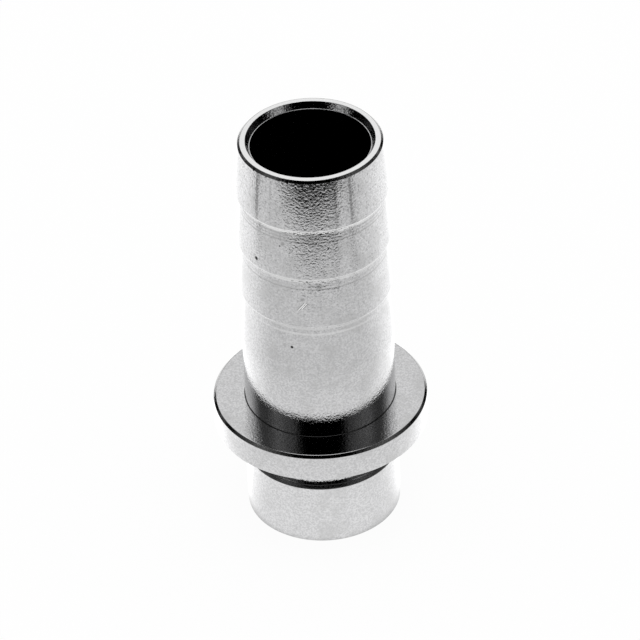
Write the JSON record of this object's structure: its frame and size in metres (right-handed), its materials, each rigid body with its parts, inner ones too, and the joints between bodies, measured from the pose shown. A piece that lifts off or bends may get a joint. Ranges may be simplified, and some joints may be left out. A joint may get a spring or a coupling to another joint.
{
  "type": "hose barb tail",
  "caption": "Turned steel hose barb tail: barbed tube above a round collar, a gasket groove and a short plain spigot, with a straight bore right through.",
  "frame": {"origin": "centre of the spigot's end face, which it stands on", "axes": "+Z along the bore axis, from the spigot towards the barbed hose end; X and Y are any two directions across it"},
  "size_m": [0.02, 0.02, 0.0414],
  "materials": {
    "turned_steel": "bright turned stainless steel, fine tool lines round the axis, lightly handled"
  },
  "bodies": {
    "root": {"hose_tail": "turned_steel"}
  },
  "joints": []
}
